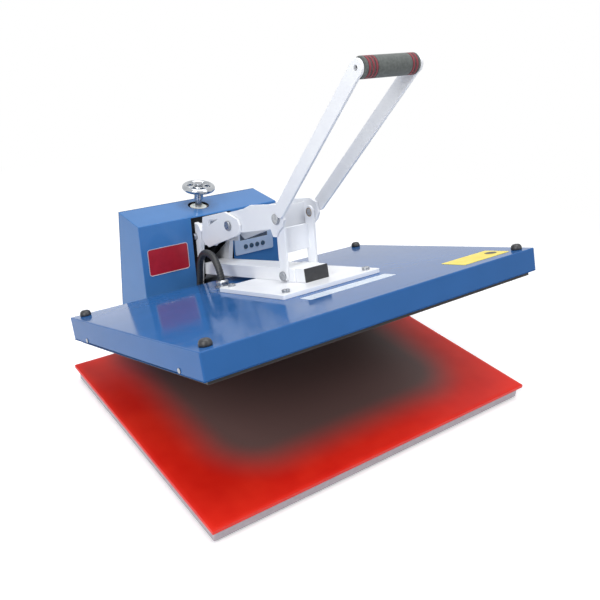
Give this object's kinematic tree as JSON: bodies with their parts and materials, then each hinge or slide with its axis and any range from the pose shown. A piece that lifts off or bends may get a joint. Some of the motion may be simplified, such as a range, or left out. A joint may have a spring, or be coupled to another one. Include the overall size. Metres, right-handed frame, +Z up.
{
  "type": "heat press",
  "caption": "Manual clamshell heat press with a hinged electric upper platen, a silicone pad bed, a toggle handle and a rear control box.",
  "frame": {"origin": "on the floor, under the middle of the machine's overall box", "axes": "+X is the operator's right when facing the press from its front, -Y is the front, +Z is up"},
  "size_m": [0.7, 0.687, 0.6481],
  "materials": {
    "white_paint": "smooth powder coat",
    "blue_paint": "glossy powder coat",
    "bed_paint": "satin grey paint",
    "black_frame": "satin black paint",
    "red_silicone": "smooth matt silicone",
    "black_rubber": "matt",
    "bright_steel": "zinc plated",
    "chrome": "polished",
    "bronze": "turned bronze",
    "dark_aluminium": "coated cast aluminium",
    "element": "heat-tinted tube",
    "blanket": "ceramic fibre felt",
    "black_plastic": "moulded",
    "gloss_plastic": "smooth",
    "panel_film": "satin film",
    "badge_red": "gloss",
    "label_yellow": "satin",
    "foam": "closed-cell foam",
    "board": "solder mask",
    "switch_red": "gloss",
    "nylon": "natural nylon"
  },
  "bodies": {
    "frame": {"side_rails": "black_frame", "cross_members": "black_frame", "rubber_feet": "black_rubber", "foot_screws": "bright_steel", "bed_plate": "bed_paint", "silicone_pad": "red_silicone", "uprights": "white_paint", "hinge_pin": "bright_steel", "pin_clips": "bright_steel", "thrust_block": "white_paint", "guide_bridge": "white_paint", "screw_guide": "nylon", "rocker_pin": "bright_steel", "box_floor": "blue_paint", "box_shell": "blue_paint", "box_back": "blue_paint", "box_screws": "bright_steel", "control_panel": "panel_film", "display_window": "gloss_plastic", "controller_board": "board", "power_relay": "black_plastic", "mains_inlet": "black_plastic", "switch_housing": "black_plastic", "name_badge": "badge_red", "conduit_grommet": "black_rubber", "heater_conduit": "black_rubber"},
    "platen": {"platen_cover": "blue_paint", "insulation_blanket": "blanket", "heater_plate": "dark_aluminium", "heating_element": "element", "thermostat": "bright_steel", "corner_studs": "bright_steel", "corner_knobs": "black_plastic", "cover_screws": "bright_steel", "mounting_plate": "white_paint", "plate_screws": "bright_steel", "lifting_beam": "white_paint", "beam_plug": "black_plastic", "pivot_cheeks": "white_paint", "hinge_bush": "bronze", "strut_pin": "bright_steel", "conduit_gland": "bright_steel", "label_plate": "label_yellow"},
    "strut": {"strut": "white_paint", "strut_bushes": "bronze"},
    "handle": {"handle_cheeks": "white_paint", "handle_pins": "bright_steel", "handle_arms": "white_paint", "grip_tube": "bright_steel", "grip_foam": "foam"},
    "rocker": {"rocker_plates": "white_paint", "rocker_studs": "bright_steel", "trunnion_nut": "bright_steel"},
    "handwheel": {"handwheel": "chrome", "pressure_screw": "bright_steel"},
    "button_1": {"button_1": "black_plastic"},
    "button_2": {"button_2": "black_plastic"},
    "button_3": {"button_3": "black_plastic"},
    "button_4": {"button_4": "black_plastic"},
    "power_switch": {"power_switch": "switch_red"}
  },
  "joints": [
    {"name": "platen_hinge", "type": "hinge", "parent": "frame", "child": "platen", "pos_m": [0, 0.2882, 0.0886], "axis": [1, 0, 0], "range_deg": [0, 21], "deforming": ["heater_conduit"]},
    {"name": "strut_pivot", "type": "hinge", "parent": "platen", "child": "strut", "pos_m": [0, -0.05902, 0.23801], "axis": [1, 0, 0], "range_deg": [-53.03, 0.05]},
    {"name": "handle_pivot", "type": "hinge", "parent": "strut", "child": "handle", "pos_m": [0, -0.03456, 0.3397], "axis": [1, 0, 0], "range_deg": [-0.05, 94.33]},
    {"name": "handwheel_turn", "type": "hinge", "parent": "frame", "child": "handwheel", "pos_m": [0, 0.3035, 0.2815], "axis": [0, 0, 1], "range_deg": [-540, 540]},
    {"name": "rocker_tilt", "type": "hinge", "parent": "frame", "child": "rocker", "pos_m": [0, 0.2435, 0.2], "axis": [1, 0, 0], "range_deg": [-2.16, 2.16]},
    {"name": "button_1_press", "type": "slide", "parent": "frame", "child": "button_1", "axis": [0, 0.9799, -0.1994], "range_m": [0, 0.0012], "stiffness_N_per_m": 400, "springref_m": -0.0005},
    {"name": "button_2_press", "type": "slide", "parent": "frame", "child": "button_2", "axis": [0, 0.9799, -0.1994], "range_m": [0, 0.0012], "stiffness_N_per_m": 400, "springref_m": -0.0005},
    {"name": "button_3_press", "type": "slide", "parent": "frame", "child": "button_3", "axis": [0, 0.9799, -0.1994], "range_m": [0, 0.0012], "stiffness_N_per_m": 400, "springref_m": -0.0005},
    {"name": "button_4_press", "type": "slide", "parent": "frame", "child": "button_4", "axis": [0, 0.9799, -0.1994], "range_m": [0, 0.0012], "stiffness_N_per_m": 400, "springref_m": -0.0005},
    {"name": "power_switch_rock", "type": "hinge", "parent": "frame", "child": "power_switch", "pos_m": [0.108, 0.3355, 0.108], "axis": [1, 0, 0], "range_deg": [0, 14]}
  ],
  "couplings": [
    {"joint": "strut_pivot", "follows": "platen_hinge", "ratio": -2.5227},
    {"joint": "handle_pivot", "follows": "platen_hinge", "ratio": 4.4894},
    {"joint": "rocker_tilt", "follows": "handwheel_turn", "ratio": -0.0039789}
  ]
}
